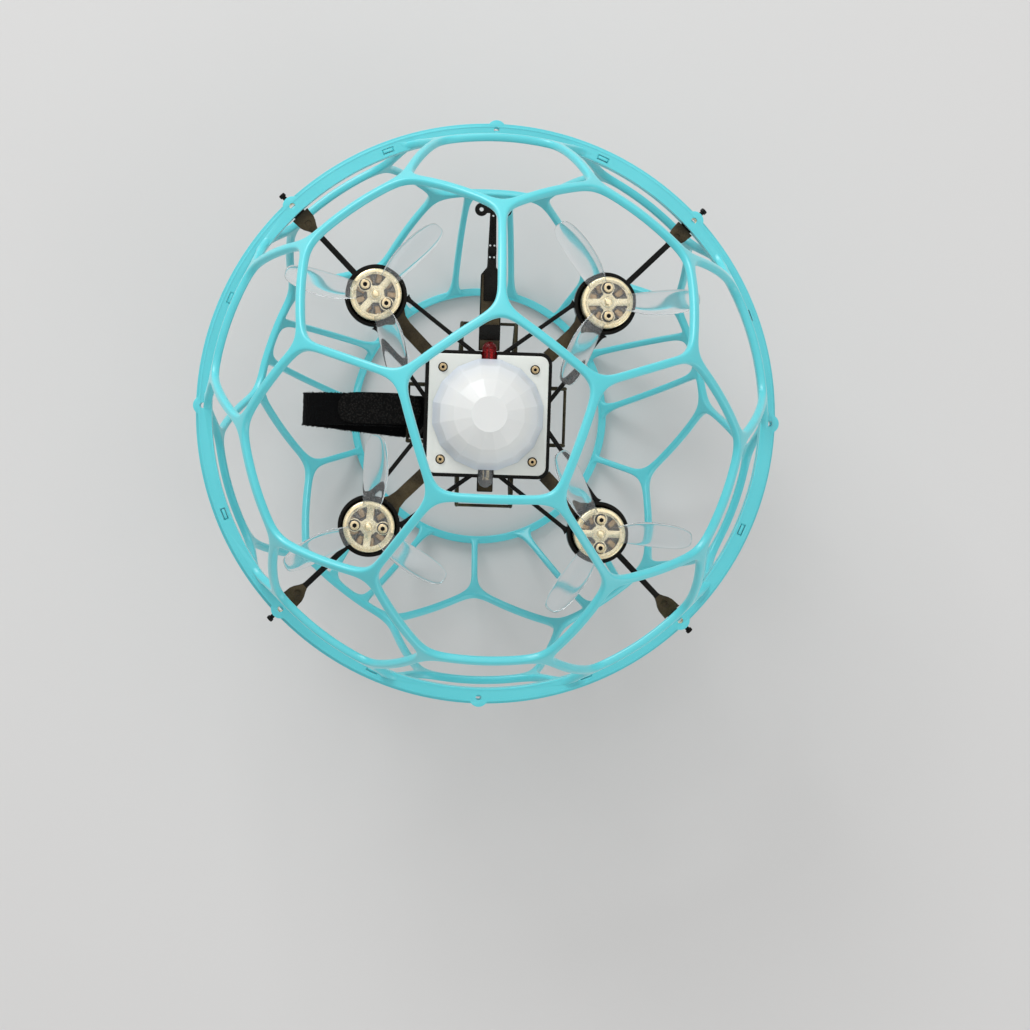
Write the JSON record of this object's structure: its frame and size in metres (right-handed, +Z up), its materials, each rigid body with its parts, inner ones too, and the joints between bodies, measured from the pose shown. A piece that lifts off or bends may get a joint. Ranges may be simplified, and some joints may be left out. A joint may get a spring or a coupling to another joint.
{
  "type": "ball cage quadcopter",
  "caption": "Small quadcopter in a turquoise lattice ball cage, with a milky dome light, three-blade propellers and a battery strap.",
  "frame": {"origin": "centre of the ball on the surface it stands on, under the lower cage's open ring", "axes": "+Z up along the propeller shafts, front towards -Y, rear towards +Y, the drone's left side towards +X"},
  "size_m": [0.2038, 0.2038, 0.1793],
  "materials": {
    "turquoise_plastic": "satin moulded nylon, turquoise",
    "smoke_plastic": "smoke-black translucent polycarbonate, glossy",
    "white_plastic": "off-white moulded plate, fine satin",
    "milky_plastic": "milky light-diffusing plastic, satin",
    "red_lens": "clear red epoxy",
    "clear_lens": "water-clear epoxy",
    "clear_plastic": "clear glossy polycarbonate",
    "gold_anodised": "champagne anodised, satin turned",
    "brass": "polished brass",
    "brass_screw": "plated screw head",
    "screw_steel": "plated steel",
    "copper_windings": "enamelled copper wire on a steel core",
    "circuit_board": "green solder mask",
    "black_webbing": "black hook-and-loop tape",
    "battery_wrap": "heat-shrink wrap"
  },
  "bodies": {
    "airframe": {"arm_insert_front_left": "brass", "arm_insert_front_right": "brass", "arm_insert_rear_left": "brass", "arm_insert_rear_right": "brass", "battery_basket": "smoke_plastic", "battery_pack": "battery_wrap", "battery_strap": "black_webbing", "dome_light": "milky_plastic", "flight_board": "circuit_board", "front_led": "clear_lens", "light_board": "circuit_board", "lower_cage": "turquoise_plastic", "main_frame": "smoke_plastic", "plate_screw_1": "brass_screw", "plate_screw_2": "brass_screw", "plate_screw_3": "brass_screw", "plate_screw_4": "brass_screw", "rear_boom": "smoke_plastic", "rear_led": "red_lens", "stator_front_left": "copper_windings", "stator_front_right": "copper_windings", "stator_rear_left": "copper_windings", "stator_rear_right": "copper_windings", "top_plate": "white_plastic", "upper_cage": "turquoise_plastic"},
    "rotor_rear_right": {"bell_rear_right": "gold_anodised", "prop_screw_rear_right_a": "screw_steel", "prop_screw_rear_right_b": "screw_steel", "propeller_rear_right": "clear_plastic"},
    "rotor_rear_left": {"bell_rear_left": "gold_anodised", "prop_screw_rear_left_a": "screw_steel", "prop_screw_rear_left_b": "screw_steel", "propeller_rear_left": "clear_plastic"},
    "rotor_front_right": {"bell_front_right": "gold_anodised", "prop_screw_front_right_a": "screw_steel", "prop_screw_front_right_b": "screw_steel", "propeller_front_right": "clear_plastic"},
    "rotor_front_left": {"bell_front_left": "gold_anodised", "prop_screw_front_left_a": "screw_steel", "prop_screw_front_left_b": "screw_steel", "propeller_front_left": "clear_plastic"}
  },
  "joints": [
    {"name": "spin_rear_right", "type": "hinge", "parent": "airframe", "child": "rotor_rear_right", "pos_m": [-0.04, 0.04, 0.095], "axis": [0, 0, 1], "continuous": true},
    {"name": "spin_rear_left", "type": "hinge", "parent": "airframe", "child": "rotor_rear_left", "pos_m": [0.04, 0.04, 0.095], "axis": [0, 0, 1], "continuous": true},
    {"name": "spin_front_right", "type": "hinge", "parent": "airframe", "child": "rotor_front_right", "pos_m": [-0.04, -0.04, 0.095], "axis": [0, 0, 1], "continuous": true},
    {"name": "spin_front_left", "type": "hinge", "parent": "airframe", "child": "rotor_front_left", "pos_m": [0.04, -0.04, 0.095], "axis": [0, 0, 1], "continuous": true}
  ]
}
